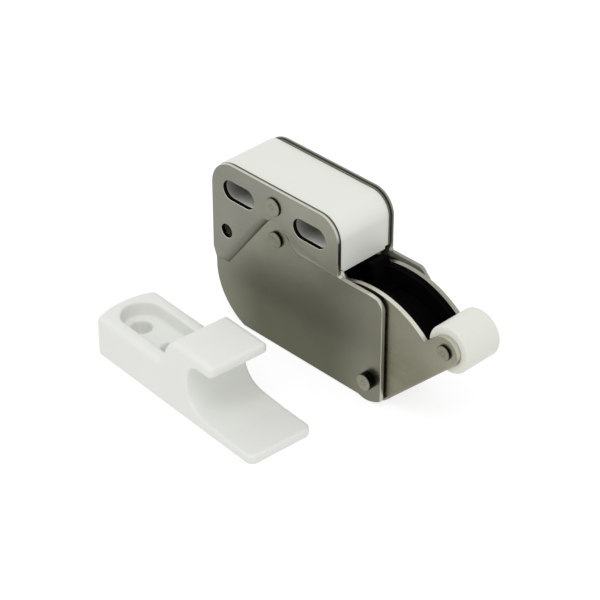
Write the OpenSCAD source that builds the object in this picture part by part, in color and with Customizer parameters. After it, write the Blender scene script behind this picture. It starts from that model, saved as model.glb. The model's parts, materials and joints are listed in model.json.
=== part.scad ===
// Touch latch for a cabinet door: a sprung arm with a roller between two pressed
// side plates, and the hooked keeper that the roller pulls in.
// X runs along the latch towards the roller, Y through its thickness and Z up.
// The origin lies midway between the two screw slots, in the latch's middle plane.

/* [Side plates] */
// Width of the latch over both side plates
latch_w = 12.5; // [12.4:0.1:13.4]
// Sheet thickness of a side plate
plate_t = 0.8; // [0.7:0.05:0.85]
// Length of a plate along its bottom edge
plate_len = 37; // [36.6:0.1:38]
// Height of a plate
plate_h = 30.25; // [29.5:0.05:32]
// Length of a plate along its top edge
top_len = 28.5; // [27.5:0.1:29.5]
// Height of the step below the roller's place
shelf_h = 20.2; // [19.4:0.1:20.6]
// Radius of the top corner at the tail
tail_top_r = 4.9; // [3:0.1:5]
// Radius of the top corner over the step
nose_top_r = 4; // [2:0.1:5]
// Radius of the step's outer corner
shelf_r = 2.3; // [1:0.1:4]
// Radius of the inner corner of the step
step_r = 0.5; // [0.2:0.1:1]
// Radius of the round end of a plate under the pivot
lobe_r = 3.75; // [3.5:0.05:4]
// How far that round end reaches below the bottom edge
lobe_dip = 0.3; // [0.1:0.05:0.5]
// Radius of the large bottom corner at the tail
tail_r = 10.4; // [8:0.1:11]
// How far the large corner's arc would run below the bottom edge
tail_sink = 0.8; // [0.2:0.1:2]
// Depth that the lower part of a plate is pressed inwards
joggle = 0.65; // [0.4:0.05:0.7]
// Width of the slope around the pressed part
joggle_run = 0.9; // [0.5:0.1:1.2]
// How far the top of the pressed part lies above the step
joggle_rise = 4; // [3.6:0.1:4.4]

/* [Fixing holes] */
// Width of a screw slot
slot_w = 3.6; // [3:0.1:4.2]
// Length of a screw slot end to end
slot_len = 7.2; // [5:0.1:8]
// Distance between the two slots
slot_pitch = 16; // [15:0.1:16.4]
// Slots' middle below the top edge, as a share of the height above the step
slot_share = 0.4726; // [0.46:0.0001:0.49]
// Diameter of the round fixing hole
fix_d = 2.5; // [2:0.1:3]
// Distance from the tail edge to the fixing hole
fix_x = 3.3; // [3:0.1:4]
// How far the fixing hole lies below the step
fix_drop = 2.8; // [2.2:0.1:3.4]
// Wall of the tube between the plates at the fixing hole
tube_wall = 0.6; // [0.4:0.05:0.8]

/* [Spacer block] */
// How far the underside of the block lies above the step
block_rise = 0.3; // [0.2:0.05:0.6]
// How far the block's faces lie inside the plates' edges
block_inset = 0.3; // [0.1:0.05:0.6]

/* [Rivets] */
// Rivet through the block below the top edge, as a share of the height above the step
rivet_share = 0.3333; // [0.3:0.0001:0.36]
// How far the rivet that carries the follower lies above the step
cross_rivet_rise = 0.35; // [0.1:0.05:0.5]
// Shank radius of both rivets
rivet_r = 1; // [0.8:0.05:1.1]
// Head radius of the rivet through the block
block_head_r = 1.6; // [1.4:0.05:1.7]
// Head height of the rivet through the block
block_head_h = 0.35; // [0.2:0.05:0.5]
// Head radius of the rivet that carries the follower
cross_head_r = 1.4; // [1.25:0.05:1.6]
// Head height of the rivet that carries the follower
cross_head_h = 0.5; // [0.2:0.05:0.55]
// Outer radius of the sleeve on that rivet
sleeve_r = 1.9; // [1.6:0.05:2]

/* [Pivot] */
// Distance from the plates' right edge to the arm's pivot
pivot_in = 1.97; // [1.8:0.01:2.2]
// Height of the arm's pivot
pivot_z = 4; // [3.9:0.05:4.1]
// Radius of the pivot pin
pin_r = 1.1; // [0.9:0.05:1.15]
// Radius of the pin's ends
pin_head_r = 1.45; // [1.25:0.05:1.6]
// Height of the pin's front end
pin_front_h = 1.35; // [0.4:0.05:1.5]
// Height of the pin's back end
pin_back_h = 0.5; // [0.3:0.05:0.55]
// Outer radius of the bush that keeps the arm's walls apart
bush_r = 2.4; // [1.8:0.1:2.5]
// Radial clearance of what turns on a pin
run_fit = 0.05; // [0.02:0.01:0.08]

/* [Swing arm] */
// Width of the arm over its walls
arm_w = 9; // [8.8:0.05:9.1]
// Sheet thickness of the arm
arm_t = 0.8; // [0.7:0.05:0.85]
// Distance from the pivot to the roller's axle
reach = 18.95; // [18.5:0.05:19.4]
// Angle of the arm above level
arm_deg = 39.8; // [39:0.1:41]
// Radius of the arm's curved edge
sector_r = 16.7; // [16.2:0.1:16.8]
// How far the middle of the curved edge lies behind the pivot
sector_back = 0.75; // [0.5:0.05:1]
// How far the middle of the curved edge lies below the pivot
sector_down = 0.55; // [0.4:0.05:0.8]
// Radius of the arm's end at the pivot
heel_r = 4.25; // [4.15:0.05:4.3]
// Radius of the arm's end at the axle
boss_r = 2.6; // [2.4:0.05:2.9]
// Angle of the arm's inner edge above level
sector_end = 120; // [119:0.5:122]
// Outer radius of the bends between web and walls
bend_r = 0.6; // [0.2:0.05:0.7]

/* [Roller] */
// Radius of the roller
roller_r = 4.05; // [3.6:0.05:4.1]
// Rounding of the roller's ends
roller_edge = 0.35; // [0.2:0.05:1]
// Side play of the roller between the walls
roller_play = 0.06; // [0.05:0.01:0.1]
// Radius of the roller's axle
axle_r = 0.95; // [0.8:0.05:1.1]
// Radius of the axle's riveted ends
axle_head_r = 1.3; // [1.2:0.05:1.6]
// Height of the axle's riveted ends
axle_head_h = 0.45; // [0.2:0.05:0.5]

/* [Spring] */
// Radius of the spring wire
spring_wire_r = 0.4; // [0.3:0.05:0.45]
// Whole turns of the coil
spring_turns = 5; // [3:1:6]

/* [Catch] */
// Radius of the follower's wire
follower_wire_r = 0.5; // [0.4:0.05:0.55]
// Radius about the pivot at which the follower enters the cam
lane_r = 16.2; // [16:0.05:16.4]
// Angle about the pivot at which the follower's tip hangs
tip_deg = 168; // [167:0.1:169]
// Thickness of the cam at its track
cam_t = 3.6; // [3.2:0.1:3.7]
// Depth of the cam's track
track_d = 1.8; // [1.6:0.1:2.2]

/* [Keeper] */
// Length of the keeper
keeper_len = 40.5; // [39:0.1:42]
// Width of the keeper at its base
keeper_w = 12.4; // [11.8:0.1:13]
// Height of the screw block
keeper_block_h = 7.2; // [6.8:0.1:8]
// Height of the top of the hook
hook_top = 12.4; // [12:0.1:13]
// Length of the hook from the screw block to its lip
hook_len = 12.65; // [12:0.05:13]
// Run of the slope from the screw block to the top of the hook
hook_slope = 2.9; // [2:0.1:3.5]
// Thickness of the hook's lip
lip_t = 1.9; // [1.5:0.1:2.2]
// Radius of the pocket under the lip
pocket_r = 2.8; // [2.4:0.1:3]
// Thickness of the tongue
tongue_t = 1.6; // [1.2:0.1:2]
// How much thicker the tongue is at the foot of the ramp
tongue_rise = 0.4; // [0.2:0.05:0.6]
// Radius of the ramp from the tongue into the pocket
ramp_r = 4.4; // [4:0.1:5]
// Radius of the keeper's curved end
keeper_end_r = 13.7; // [10:0.1:20]
// How far each side leans in up to the top of the hook
keeper_draft = 0.55; // [0.2:0.05:0.8]
// Width of the recess for the screw heads
head_recess_w = 7.2; // [6.4:0.1:7.4]
// Depth of the recess for the screw heads
head_recess_d = 2.8; // [2:0.1:3.4]
// Distance from the curved end to the first screw hole
keeper_hole_in = 5.1; // [4.8:0.1:5.6]
// Diameter of the keeper's screw holes
keeper_hole_d = 3.6; // [3:0.1:4.2]
// Distance between the keeper's screw holes
keeper_pitch = 8; // [7.4:0.1:8.4]
// How far the keeper's curved end lies beyond the tail edge
keeper_beyond = 6.2; // [0:0.1:12]
// Distance from the front plate to the keeper's outer corner
keeper_away = 21.4; // [20:0.1:30]
// Angle at which the keeper lies beside the latch
keeper_yaw = 3.75; // [0:0.25:8]

/* [Hidden] */
$fn = 64;
// Clearance of parts that are riveted or pressed together without movement
seat = 0.02;
// Small overlap that carries a cut past a face
past = 1;
half_w = latch_w / 2;
// Heights and places that follow the plates' own edges
slot_x = (top_len - slot_pitch) / 2;
slot_z = plate_h - slot_share * (plate_h - shelf_h);
rivet_x = top_len / 2;
block_z = shelf_h + block_rise;
block_rivet_z = plate_h - rivet_share * (plate_h - shelf_h);
cross_rivet_z = shelf_h + cross_rivet_rise;
joggle_top = shelf_h + joggle_rise;
fix_z = shelf_h - fix_drop;
pivot_x = plate_len - pivot_in;
lobe_at = [plate_len - 0.725 * lobe_r, lobe_r - lobe_dip];
// Faces of one side, measured from the middle plane
plate_in = half_w - plate_t;
pressed_out = half_w - joggle;
pressed_in = pressed_out - plate_t;
arm_out = arm_w / 2;
arm_in = arm_out - arm_t;
// Directions along the arm, square to it, and square to its lower edge
arm_dir = [cos(arm_deg), sin(arm_deg)];
arm_up = [-sin(arm_deg), cos(arm_deg)];
sector_at = [-sector_back, -sector_down];
web_deg = arm_deg + asin((heel_r - boss_r) / reach);
web_dir = [cos(web_deg), sin(web_deg)];
web_out = [sin(web_deg), -cos(web_deg)];
axle_at = reach * arm_dir;
web_end = reach * cos(web_deg - arm_deg) - sqrt(pow(roller_r + 0.35, 2) - pow(boss_r - arm_t, 2));
// Coil of the spring and the place of the cross rivet, seen from the pivot
// The web lies a little inside the arm's round ends, which run out into it
web_in = 0.04;
web_r = heel_r - web_in;
coil_r = web_r - arm_t - spring_wire_r - 0.05;
cross_at = [rivet_x - pivot_x, cross_rivet_z - pivot_z];
cross_far = norm(cross_at);
spring_leg_y = -arm_in + spring_wire_r + 0.3;
spring_pitch = 2.1 * spring_wire_r;
// The cam sits against the arm's back wall, and the follower hangs in front of it
cam_face = arm_in - cam_t;
follower_y = cam_face - follower_wire_r - 0.2;
lane_half = follower_wire_r + 0.25;
lane_step = 2.2;
track_in = lane_r - lane_step - lane_half;
track_out = lane_r + lane_half;
tip_at = polar(lane_r, tip_deg);
follower_len = norm(tip_at - cross_at);
// Holes of the keeper's screw block
keeper_hole_1 = keeper_hole_in;
keeper_hole_2 = keeper_hole_1 + keeper_pitch;
hook_u = keeper_hole_2 + head_recess_w * 2 / 3;
lip_u = hook_u + hook_len;
pocket_u = lip_u - 1.15 * pocket_r;

function polar(r, deg) = [r * cos(deg), r * sin(deg)];

// Moves what is drawn from the tail's bottom corner to the latch's own origin
module in_latch() {
    translate([-slot_x - slot_pitch / 2, 0, -slot_z])
        children();
}

// Moves what is drawn about the pivot to its place in the latch
module at_pivot() {
    in_latch()
        translate([pivot_x, 0, pivot_z])
            children();
}

// Extrudes an outline in X and Z from one Y to another
module slice(from, to) {
    translate([0, to, 0])
        rotate([90, 0, 0])
            linear_extrude(to - from)
                children();
}

// Round bar along Y at a point in X and Z
module bar(at, r, from, to) {
    translate([at[0], to, at[1]])
        rotate([90, 0, 0])
            cylinder(r = r, h = to - from);
}

// Waste outside a rounded corner; sx and sy point from the corner into the outline
module round_off(at, r, sx, sy) {
    translate(at)
        difference() {
            translate([sx < 0 ? -r : -past, sy < 0 ? -r : -past])
                square(r + past);
            translate([sx * r, sy * r])
                circle(r);
        }
}

// Outline between two angles about the pivot
module wedge(r, from, to) {
    polygon([[0, 0], polar(r, from), polar(r, (from + to) / 2), polar(r, to)]);
}

module ring_sector(r_in, r_out, from, to) {
    intersection() {
        difference() {
            circle(r_out, $fn = 128);
            circle(r_in, $fn = 128);
        }
        wedge(2 * r_out, from, to);
    }
}

// Outline of one screw slot about its middle
module slot_outline(w, length) {
    translate([-(length - w) / 2, -w / 2])
        square([length - w, w]);
    for (s = [-1, 1])
        translate([s * (length - w) / 2, 0])
            circle(d = w);
}

module both_slots() {
    for (i = [0, 1])
        translate([slot_x + i * slot_pitch, slot_z])
            slot_outline(slot_w, slot_len);
}

// Flat blank of a side plate
module plate_outline() {
    difference() {
        union() {
            square([plate_len, shelf_h]);
            square([top_len, plate_h]);
            intersection() {
                translate(lobe_at)
                    circle(lobe_r);
                translate([0, -past])
                    square([plate_len, lobe_r + past]);
            }
            translate([top_len, shelf_h])
                difference() {
                    square(step_r);
                    translate([step_r, step_r])
                        circle(step_r);
                }
        }
        round_off([0, plate_h], tail_top_r, 1, -1);
        round_off([top_len, plate_h], nose_top_r, -1, -1);
        round_off([plate_len, shelf_h], shelf_r, -1, -1);
        difference() {
            translate([-past, -past])
                square([tail_r + past, tail_r - tail_sink + past]);
            translate([tail_r, tail_r - tail_sink])
                circle(tail_r, $fn = 128);
        }
        difference() {
            translate([lobe_at[0], -past])
                square([plate_len - lobe_at[0] + past, lobe_at[1] + past]);
            translate(lobe_at)
                circle(lobe_r);
        }
        both_slots();
        translate([fix_x, fix_z])
            circle(d = fix_d);
        translate([rivet_x, block_rivet_z])
            circle(rivet_r + seat);
        translate([rivet_x, cross_rivet_z])
            circle(rivet_r + seat);
        translate([pivot_x, pivot_z])
            circle(pin_r + seat);
    }
}

// Corners of the three convex fields that make up the pressed part
function joggle_fields() = [
    [[rivet_x, joggle_top - 2.6], [rivet_x - 16, joggle_top - 24.4], [rivet_x + 20, joggle_top - 20.6]],
    [[rivet_x - 1, shelf_h - 2.2], [plate_len + 12, shelf_h - 2.5], [plate_len + 12, -12], [rivet_x - 1, -12]],
    [[rivet_x, 12.8], [-10, 4.2], [-10, -12], [rivet_x, -12]]
];
joggle_r = 1.8;

// Pressed part of the front plate as a solid, from just outside its face to its floor
module joggle_form(shift) {
    for (field = joggle_fields())
        hull()
            for (at = field)
                translate([at[0], -half_w - joggle + shift, at[1]])
                    rotate([-90, 0, 0])
                        cylinder(r1 = joggle_r + 2 * joggle_run, r2 = joggle_r, h = 2 * joggle, $fn = 32);
}

module side_plate() {
    difference() {
        intersection() {
            slice(-half_w, -pressed_in)
                plate_outline();
            union() {
                translate([-past, -half_w, -past])
                    cube([plate_len + 2 * past, plate_t, plate_h + 2 * past]);
                joggle_form(plate_t);
            }
        }
        joggle_form(0);
    }
}

module side_plate_front() {
    color([0.62, 0.61, 0.56])
        in_latch()
            side_plate();
}

module side_plate_back() {
    color([0.62, 0.61, 0.56])
        in_latch()
            mirror([0, 1, 0])
                side_plate();
}

// Outline of the pressed part with room around it, which the block stays clear of
module joggle_room() {
    grow = joggle_r + joggle_run + 0.3;
    top = joggle_top - 2.6;
    polygon([[rivet_x - 16, joggle_top - 24.4 + 2 * grow], [rivet_x - 0.75 * grow, top + 0.75 * grow],
             [rivet_x - 0.3 * grow, top + grow], [rivet_x + 0.3 * grow, top + grow],
             [rivet_x + 0.75 * grow, top + 0.75 * grow], [rivet_x + 20, joggle_top - 20.6 + 2 * grow],
             [rivet_x + 20, 0], [rivet_x - 16, 0]]);
    translate([rivet_x, 0])
        square([plate_len, shelf_h - 2.2 + grow]);
}

// Finger under the block that the follower hangs against
module follower_stop() {
    dir = (tip_at - cross_at) / follower_len;
    near = [rivet_x, cross_rivet_z] + (follower_wire_r + run_fit) * [dir[1], -dir[0]];
    polygon([near + 5.6 * dir, near + 3.9 * dir, [rivet_x - 3.8, cross_rivet_z - 3],
             [rivet_x - 3.8, block_z + past], [rivet_x - 6, block_z + past],
             [rivet_x - 6, cross_rivet_z - 4.4], [rivet_x - 4.8, cross_rivet_z - 5.5]]);
}

// Moulded block that holds the upper plates apart and stops the arm
module spacer_block() {
    nose = top_len - block_inset;
    roof = plate_h - 1.3 * block_inset;
    color([0.87, 0.88, 0.86])
        in_latch() {
            slice(follower_y - 1, follower_y + 1)
                follower_stop();
            difference() {
                slice(-plate_in, plate_in)
                    difference() {
                        translate([block_inset, block_z])
                            square([nose - block_inset, roof - block_z]);
                        round_off([block_inset, roof], tail_top_r - block_inset, 1, -1);
                        round_off([nose, roof], nose_top_r - block_inset, -1, -1);
                        round_off([block_inset, block_z], 1, 1, 1);
                        both_slots();
                        translate([rivet_x, block_rivet_z])
                            circle(rivet_r + seat);
                        translate([rivet_x, cross_rivet_z])
                            circle(sleeve_r + 1.6);
                    }
                for (s = [-1, 1])
                    slice(s < 0 ? -half_w : pressed_in - run_fit, s < 0 ? run_fit - pressed_in : half_w)
                        joggle_room();
            }
        }
}

// Half section of a rivet's formed end, standing on its seat
module rivet_end(shank, head_r, head_h) {
    difference() {
        square([head_r, head_h]);
        translate([head_r, head_h])
            rotate(45)
                square(0.7 * min(head_h, 0.3), center = true);
        translate([0, head_h])
            square([0.4 * shank, 0.24], center = true);
    }
}

// Rivet along Y with a formed end on the front face, and one on the back face unless it is flush there
module rivet(shank, face, head_r, front_h, back_h) {
    rotate([90, 0, 0])
        rotate_extrude()
            union() {
                translate([0, -face])
                    square([shank, 2 * face]);
                translate([0, face])
                    rivet_end(shank, head_r, front_h);
                if (back_h > 0)
                    mirror([0, 1])
                        translate([0, face])
                            rivet_end(shank, head_r, back_h);
            }
}

// The back end is flush, so that the back plate seats flat on the cabinet's side
module block_rivet() {
    color([0.66, 0.65, 0.6])
        in_latch()
            translate([rivet_x, 0, block_rivet_z])
                rivet(rivet_r, half_w, block_head_r, block_head_h, 0);
}

module cross_rivet() {
    color([0.66, 0.65, 0.6])
        in_latch()
            translate([rivet_x, 0, cross_rivet_z])
                rivet(rivet_r, pressed_out, cross_head_r, cross_head_h, cross_head_h);
}

// Tube that holds the lower plates apart and carries the follower
module cross_sleeve() {
    color([0.6, 0.6, 0.58])
        in_latch()
            difference() {
                bar([rivet_x, cross_rivet_z], sleeve_r, -pressed_in, pressed_in);
                bar([rivet_x, cross_rivet_z], rivet_r + seat, -half_w, half_w);
            }
}

// Tube that keeps the plates apart at the tail, in line with their fixing holes
module fixing_tube() {
    color([0.5, 0.49, 0.46])
        in_latch()
            difference() {
                bar([fix_x, fix_z], fix_d / 2 + tube_wall, -plate_in, plate_in);
                bar([fix_x, fix_z], fix_d / 2, -half_w, half_w);
            }
}

module pivot_pin() {
    color([0.66, 0.65, 0.6])
        at_pivot()
            rivet(pin_r, pressed_out, pin_head_r, pin_front_h, pin_back_h);
}

module pivot_bush() {
    color([0.6, 0.6, 0.58])
        at_pivot()
            difference() {
                bar([0, 0], bush_r, -arm_in + run_fit, arm_in - run_fit);
                bar([0, 0], pin_r + seat, -half_w, half_w);
            }
}

// Thin washers between the arm and the plates
module pivot_washers() {
    play = 0.03;
    color([0.6, 0.6, 0.58])
        at_pivot()
            difference() {
                for (s = [-1, 1])
                    bar([0, 0], 0.95 * pivot_in, s < 0 ? -pressed_in + play : arm_out + play,
                        s < 0 ? -arm_out - play : pressed_in - play);
                bar([0, 0], pin_r + run_fit, -half_w, half_w);
            }
}

// Side view of the arm about its pivot
module arm_outline() {
    stop_z = block_z - pivot_z - run_fit;
    difference() {
        union() {
            circle(heel_r);
            translate(axle_at)
                circle(boss_r);
            polygon([[0, 0], web_r * web_out, axle_at + (boss_r - web_in) * web_out, axle_at]);
            polygon([[0, 0], axle_at, axle_at + boss_r * arm_up, boss_r * arm_up]);
            intersection() {
                translate(sector_at)
                    circle(sector_r, $fn = 128);
                wedge(2 * sector_r, arm_deg, sector_end);
            }
            intersection() {
                wedge(2 * sector_r, sector_end - 4, sector_end);
                translate([-sector_r, 0])
                    square([sector_r, stop_z]);
            }
        }
        translate([-2 * heel_r, -pivot_z - lobe_dip - heel_r])
            square([4 * heel_r, heel_r]);
        circle(pin_r + run_fit);
        translate(axle_at)
            circle(axle_r + seat);
    }
}

// Strip of the web that joins the arm's walls along their lower edge
module web_outline() {
    polygon([web_r * web_out, web_r * web_out + web_end * web_dir,
             (web_r - arm_t) * web_out + web_end * web_dir, (web_r - arm_t) * web_out]);
}

// Folded arm: two walls and the web between them
module swing_arm() {
    color([0.58, 0.57, 0.52])
        at_pivot()
            difference() {
                union() {
                    slice(-arm_out, -arm_in)
                        arm_outline();
                    slice(arm_in, arm_out)
                        arm_outline();
                    slice(-arm_out, arm_out)
                        web_outline();
                }
                for (peg = cam_pegs())
                    bar(peg, cam_peg_r + seat, 0, half_w);
                for (s = [0, 1])
                    mirror([0, s, 0])
                        rotate([0, -web_deg, 0])
                            translate([-1.5 * heel_r, 0, 0])
                                rotate([90, 0, 90])
                                    linear_extrude(reach + 3 * heel_r)
                                        round_off([arm_out + seat, -web_r - seat], bend_r, -1, 1);
            }
}

module roller() {
    half_len = arm_in - roller_play;
    color([0.88, 0.89, 0.87])
        at_pivot()
            translate([axle_at[0], 0, axle_at[1]])
                rotate([90, 0, 0])
                    rotate_extrude($fn = 96)
                        difference() {
                            translate([axle_r + run_fit, -half_len])
                                square([roller_r - axle_r - run_fit, 2 * half_len]);
                            round_off([roller_r, half_len], roller_edge, -1, -1);
                            round_off([roller_r, -half_len], roller_edge, -1, 1);
                        }
}

module roller_axle() {
    color([0.66, 0.65, 0.6])
        at_pivot()
            translate([axle_at[0], 0, axle_at[1]])
                rivet(axle_r, arm_out, axle_head_r, axle_head_h, axle_head_h);
}

// Centre line of the spring: fixed leg on the sleeve, coil about the pin, moving leg on the web.
// Each station is [x, y, z, angle of the wire's side direction].
function spring_path() =
    let(base = atan2(-cross_at[1], -cross_at[0]),
        hold = sleeve_r + spring_wire_r + 0.05,
        leg_deg = base - asin((coil_r + hold) / cross_far),
        start = leg_deg - 90,
        sweep = spring_turns * 360 + web_deg - 90 - start,
        steps = spring_turns * 24,
        run = sqrt(cross_far * cross_far - pow(coil_r + hold, 2)),
        entry = polar(coil_r, start),
        leg_top = entry - polar(run + 1.2, leg_deg),
        leave = polar(coil_r, start + sweep),
        drop = spring_leg_y + spring_pitch * sweep / 360,
        leg_end = leave + (web_end - 5) * web_dir)
    concat([[leg_top[0], spring_leg_y, leg_top[1], start]],
           [for (i = [0:steps])
               let(deg = start + sweep * i / steps, at = polar(coil_r, deg))
               [at[0], spring_leg_y + spring_pitch * sweep / 360 * i / steps, at[1], deg]],
           [[leg_end[0], drop, leg_end[1], start + sweep]]);

// Round wire swept along a path that lies square to Y or winds about it
module wire(path, r, sides) {
    n = len(path);
    points = [for (p = path, k = [0:sides - 1])
        let(a = 360 * k / sides)
        [p[0] + r * cos(a) * cos(p[3]), p[1] + r * sin(a), p[2] + r * cos(a) * sin(p[3])]];
    walls = [for (i = [0:n - 2], k = [0:sides - 1])
        let(j = (k + 1) % sides)
        [i * sides + k, i * sides + j, (i + 1) * sides + j, (i + 1) * sides + k]];
    polyhedron(points, concat(walls, [[for (k = [sides - 1:-1:0]) k]],
                              [[for (k = [0:sides - 1]) (n - 1) * sides + k]]), convexity = 8);
}

module torsion_spring() {
    color([0.45, 0.45, 0.44])
        at_pivot()
            wire(spring_path(), spring_wire_r, 10);
}

cam_peg_r = 1.1;
function cam_pegs() = [polar(10.4, 93), polar(11.4, 113)];

// Trough that fills the arm's channel: floor and two cheeks, cut back around the roller
module cam_trough() {
    from = arm_deg + 2;
    floor_r = track_in - 0.8;
    root_r = sector_r / 2;
    difference() {
        union() {
            slice(-arm_in + 1.4, arm_in)
                ring_sector(root_r, floor_r, from, 104);
            slice(-arm_in, 1.8 - arm_in)
                ring_sector(root_r + 0.4, floor_r - 0.3, from + 0.5, 88);
            slice(-arm_in, 1 - arm_in)
                cheek_outline(from + 1, 87.5);
            slice(arm_in - 1, arm_in)
                cheek_outline(from + 1, 110);
        }
        bar(axle_at, roller_r + 0.35, -half_w, half_w);
    }
}

// Outline of a cheek, its rim just below the arm's curved edge
module cheek_outline(from, to) {
    intersection() {
        translate(sector_at)
            circle(sector_r - 0.3, $fn = 128);
        ring_sector(0.6 * sector_r, 1.2 * sector_r, from, to);
    }
}

// Moulded insert on the arm's back wall: the track leads the follower round a heart-shaped island
module latch_cam() {
    heart = [polar(lane_r - lane_step + follower_wire_r + 0.12, 126), polar(lane_r - lane_step / 2, 128.2),
             polar(lane_r - follower_wire_r - 0.12, 126), polar(lane_r - lane_step / 2 + 0.3, 136),
             polar(lane_r - lane_step / 2 - 0.1, 136)];
    color([0.08, 0.08, 0.08])
        at_pivot()
            union() {
                difference() {
                    union() {
                        cam_trough();
                        slice(cam_face, arm_in)
                            union() {
                                ring_sector(track_in - 0.5, track_out + 0.5, 107.1, 141);
                                ring_sector(0.56 * sector_r, track_in - 0.2, 100, 122);
                            }
                    }
                    slice(cam_face - past, cam_face + track_d)
                        difference() {
                            ring_sector(track_in, track_out, 109.6, 143);
                            polygon(heart);
                        }
                }
                for (peg = cam_pegs())
                    bar(peg, cam_peg_r, arm_in - 0.4, arm_out);
            }
}

// Bent wire that hangs on the sleeve, its tip turned into the cam's track
module cam_follower() {
    eye_r = sleeve_r + run_fit + follower_wire_r;
    dir = (tip_at - cross_at) / follower_len;
    lean = atan2(dir[0], -dir[1]);
    color([0.5, 0.5, 0.48])
        at_pivot()
            union() {
                translate([cross_at[0], follower_y, cross_at[1]])
                    rotate([90, 0, 0])
                        rotate_extrude()
                            translate([eye_r, 0])
                                circle(follower_wire_r, $fn = 32);
                translate([cross_at[0], follower_y, cross_at[1]])
                    rotate([0, -lean, 0])
                        translate([0, 0, -follower_len - 0.3])
                            cylinder(r = follower_wire_r - 0.02, h = follower_len + 0.3 - eye_r);
                bar(tip_at, follower_wire_r - 0.05, follower_y, cam_face + track_d - 0.4);
            }
}

// Side view of the keeper: screw block, hook with its pocket, and tongue
module keeper_side() {
    under = hook_top - lip_t;
    wall_u = pocket_u - pocket_r;
    ramp_u = wall_u + ramp_r;
    foot_z = tongue_t + tongue_rise;
    ramp_top = foot_z + ramp_r;
    difference() {
        polygon([[0, 0], [keeper_len, 0], [keeper_len, tongue_t], [ramp_u + ramp_r, tongue_t], [ramp_u, foot_z],
                 [ramp_u, under], [lip_u, under], [lip_u, hook_top], [hook_u + hook_slope, hook_top],
                 [hook_u + 0.65 * hook_slope, hook_top - 0.35 * hook_slope],
                 [hook_u + 0.14 * hook_slope, keeper_block_h + 0.48 * hook_slope],
                 [hook_u, keeper_block_h], [0, keeper_block_h]]);
        round_off([lip_u, hook_top], 0.6, -1, -1);
        round_off([lip_u, under], 0.5, -1, 1);
        translate([pocket_u, under - pocket_r])
            circle(pocket_r);
        translate([pocket_u, under - pocket_r])
            square([keeper_len, pocket_r]);
        intersection() {
            translate([ramp_u, ramp_top])
                circle(ramp_r, $fn = 128);
            translate([wall_u, 0])
                square([ramp_r + past, ramp_top]);
        }
        translate([wall_u, ramp_top])
            square([ramp_r + past, under - pocket_r - ramp_top]);
    }
}

// Cross section of the keeper with leaning sides and rounded top edges
module keeper_end(top, r) {
    lean = keeper_draft * (top - r) / hook_top;
    polygon([[0, 0], [keeper_w, 0], [keeper_w - lean, top - r], [lean, top - r]]);
    translate([lean + r, top - 2 * r])
        square([keeper_w - 2 * lean - 2 * r, 2 * r]);
    for (x = [lean + r, keeper_w - lean - r])
        translate([x, top - r])
            circle(r);
}

// Plan of the keeper: a curved end with rounded corners, and the square end of the tongue
module keeper_plan() {
    corner_r = 1.2;
    mid = keeper_w / 2;
    corner_u = keeper_end_r - sqrt(pow(keeper_end_r - corner_r, 2) - pow(mid - corner_r, 2));
    touch_v = mid - (mid - corner_r) * keeper_end_r / (keeper_end_r - corner_r);
    intersection() {
        translate([keeper_end_r, mid])
            circle(keeper_end_r, $fn = 128);
        translate([0, touch_v])
            square([keeper_end_r, keeper_w - 2 * touch_v]);
    }
    for (v = [corner_r, keeper_w - corner_r])
        translate([corner_u, v])
            circle(corner_r);
    difference() {
        translate([corner_u, 0])
            square([keeper_len - corner_u, keeper_w]);
        round_off([keeper_len, 0], 1.4, -1, 1);
        round_off([keeper_len, keeper_w], 1.4, -1, -1);
    }
}

// Moulded keeper for the door, with its hook open towards the tongue
module keeper() {
    floor_z = keeper_block_h - head_recess_d;
    recess_r = head_recess_w / 2;
    recess_u = keeper_hole_1 + 0.2 * recess_r;
    color([0.87, 0.88, 0.86])
        translate([-keeper_beyond - top_len / 2, -half_w - keeper_away, -slot_z - lobe_dip])
            rotate([0, 0, -keeper_yaw])
                difference() {
                    intersection() {
                        slice(0, keeper_w)
                            keeper_side();
                        union() {
                            rotate([90, 0, 90])
                                linear_extrude(hook_u)
                                    keeper_end(keeper_block_h, 1);
                            translate([hook_u, 0, 0])
                                rotate([90, 0, 90])
                                    linear_extrude(keeper_len)
                                        keeper_end(hook_top, 0.9);
                        }
                        linear_extrude(2 * hook_top)
                            keeper_plan();
                    }
                    translate([keeper_end_r, keeper_w / 2, 0])
                        rotate([0, 0, 90])
                            rotate_extrude(angle = 180, $fn = 128)
                                round_off([keeper_end_r, keeper_block_h], 1, -1, -1);
                    translate([0, 0, hook_top - lip_t - past / 2])
                        linear_extrude(hook_top)
                            for (side = [0, 1])
                                round_off([lip_u, side * keeper_w], 1.6, -1, side > 0 ? -1 : 1);
                    translate([recess_u, keeper_w / 2, floor_z])
                        linear_extrude(keeper_block_h)
                            union() {
                                circle(recess_r);
                                translate([0, -recess_r])
                                    square([hook_u - recess_u, head_recess_w]);
                            }
                    for (u = [keeper_hole_1, keeper_hole_2])
                        translate([u, keeper_w / 2, -past])
                            cylinder(d = keeper_hole_d, h = hook_top);
                }
}

side_plate_front();
side_plate_back();
spacer_block();
block_rivet();
cross_rivet();
cross_sleeve();
fixing_tube();
pivot_pin();
pivot_bush();
pivot_washers();
swing_arm();
roller();
roller_axle();
torsion_spring();
latch_cam();
cam_follower();
keeper();
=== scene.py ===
import json
import math
import bmesh
import bpy
from mathutils import Matrix, Vector

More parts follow.
